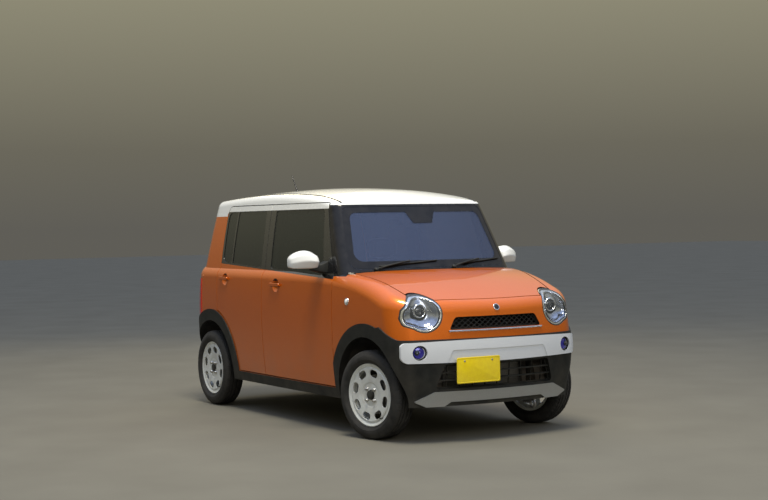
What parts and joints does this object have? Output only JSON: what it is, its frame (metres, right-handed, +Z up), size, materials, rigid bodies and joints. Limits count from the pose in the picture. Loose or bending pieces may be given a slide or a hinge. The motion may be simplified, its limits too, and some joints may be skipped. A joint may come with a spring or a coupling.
{
  "type": "kei car",
  "caption": "Tall boxy four-door mini car with round headlamps, two-tone paint, black cladding and steel wheels; doors, lids, steering and wheels move.",
  "frame": {"origin": "on the ground, at the middle of the car's length and width", "axes": "+X forward, +Y to the car's left, +Z up"},
  "size_m": [3.3955, 1.87, 1.7954],
  "materials": {
    "paint_orange": "metallic clear coat",
    "paint_white": "clear coat",
    "steel_white": "enamel",
    "trim_black": "grained",
    "gloss_black": "smooth",
    "band_white": "pearl",
    "skid_silver": "satin metallic",
    "glass_dark": "tinted",
    "glass_clear": "clear",
    "lens_clear": "clear",
    "reflector": "bright",
    "lamp_red": "ribbed",
    "tyre": "tread rubber",
    "underbody": "sound-deadening paint",
    "cast_steel": "cast",
    "exhaust_steel": "brushed",
    "seat_cloth": "woven",
    "interior": "grained"
  },
  "bodies": {
    "root": {"antenna": "gloss_black", "body_sides": "paint_orange", "bumper_band": "band_white", "centre_pillars": "gloss_black", "dashboard": "interior", "engine": "cast_steel", "exhaust": "exhaust_steel", "floor_pan": "underbody", "fog_lamps": "reflector", "front_bumper": "trim_black", "front_fenders": "paint_orange", "front_seats": "seat_cloth", "front_suspension": "underbody", "fuel_tank": "underbody", "headlamp_bowls": "reflector", "headlamp_lenses": "lens_clear", "lower_grille": "trim_black", "nose_panel": "paint_orange", "radiator": "cast_steel", "rear_axle": "underbody", "rear_bumper": "trim_black", "rear_seats": "seat_cloth", "roof": "paint_white", "side_cladding": "trim_black", "skid_plate": "skid_silver", "steering_wheel": "interior", "tail_lamps": "lamp_red", "tow_hook": "cast_steel", "upper_grille": "trim_black", "windscreen": "glass_clear", "windscreen_frame": "gloss_black"},
    "door_front_left": {"door_front_left": "paint_orange", "door_front_left_frame": "gloss_black", "door_front_left_glass": "glass_dark", "mirror_left": "paint_white"},
    "wheel_front_left": {"tyre_front_left": "tyre", "rim_front_left": "steel_white"},
    "door_front_right": {"door_front_right": "paint_orange", "door_front_right_frame": "gloss_black", "door_front_right_glass": "glass_dark", "mirror_right": "paint_white"},
    "wheel_front_right": {"tyre_front_right": "tyre", "rim_front_right": "steel_white"},
    "door_rear_left": {"door_rear_left": "paint_orange", "door_rear_left_frame": "gloss_black", "door_rear_left_glass": "glass_dark"},
    "wheel_rear_left": {"tyre_rear_left": "tyre", "rim_rear_left": "steel_white"},
    "door_rear_right": {"door_rear_right": "paint_orange", "door_rear_right_frame": "gloss_black", "door_rear_right_glass": "glass_dark"},
    "wheel_rear_right": {"tyre_rear_right": "tyre", "rim_rear_right": "steel_white"},
    "knuckle_left": {"knuckle_left": "cast_steel"},
    "knuckle_right": {"knuckle_right": "cast_steel"},
    "tailgate": {"tailgate": "paint_orange", "tailgate_top": "paint_white", "tailgate_glass": "glass_dark"},
    "bonnet": {"bonnet": "paint_orange"}
  },
  "joints": [
    {"name": "door_front_left_hinge", "type": "hinge", "parent": "root", "child": "door_front_left", "pos_m": [0.742, 0.7275, 0.7], "axis": [0, 0, -1], "range_deg": [0, 65]},
    {"name": "door_front_right_hinge", "type": "hinge", "parent": "root", "child": "door_front_right", "pos_m": [0.742, -0.7275, 0.7], "axis": [0, 0, 1], "range_deg": [0, 65]},
    {"name": "door_rear_left_hinge", "type": "hinge", "parent": "root", "child": "door_rear_left", "pos_m": [-0.326, 0.7275, 0.7], "axis": [0, 0, -1], "range_deg": [0, 65]},
    {"name": "door_rear_right_hinge", "type": "hinge", "parent": "root", "child": "door_rear_right", "pos_m": [-0.326, -0.7275, 0.7], "axis": [0, 0, 1], "range_deg": [0, 65]},
    {"name": "tailgate_hinge", "type": "hinge", "parent": "root", "child": "tailgate", "pos_m": [-1.49, 0, 1.58], "axis": [0, 1, 0], "range_deg": [0, 80]},
    {"name": "bonnet_hinge", "type": "hinge", "parent": "root", "child": "bonnet", "pos_m": [0.893, 0, 1.078], "axis": [0, -1, 0], "range_deg": [0, 50]},
    {"name": "steer_left", "type": "hinge", "parent": "root", "child": "knuckle_left", "pos_m": [1.1775, 0.545, 0.2895], "axis": [0, 0, 1], "range_deg": [-47, 23]},
    {"name": "steer_right", "type": "hinge", "parent": "root", "child": "knuckle_right", "pos_m": [1.1775, -0.545, 0.2895], "axis": [0, 0, 1], "range_deg": [-47, 23]},
    {"name": "wheel_front_left_spin", "type": "hinge", "parent": "knuckle_left", "child": "wheel_front_left", "pos_m": [1.1567, 0.6428, 0.2895], "axis": [-0.2079, 0.9781, 0], "continuous": true},
    {"name": "wheel_rear_left_spin", "type": "hinge", "parent": "root", "child": "wheel_rear_left", "pos_m": [-1.2475, 0.645, 0.2895], "axis": [0, 1, 0], "continuous": true},
    {"name": "wheel_front_right_spin", "type": "hinge", "parent": "knuckle_right", "child": "wheel_front_right", "pos_m": [1.1983, -0.6428, 0.2895], "axis": [-0.2079, 0.9781, 0], "continuous": true},
    {"name": "wheel_rear_right_spin", "type": "hinge", "parent": "root", "child": "wheel_rear_right", "pos_m": [-1.2475, -0.645, 0.2895], "axis": [0, 1, 0], "continuous": true}
  ],
  "couplings": [
    {"joint": "steer_right", "follows": "steer_left", "ratio": 1}
  ]
}
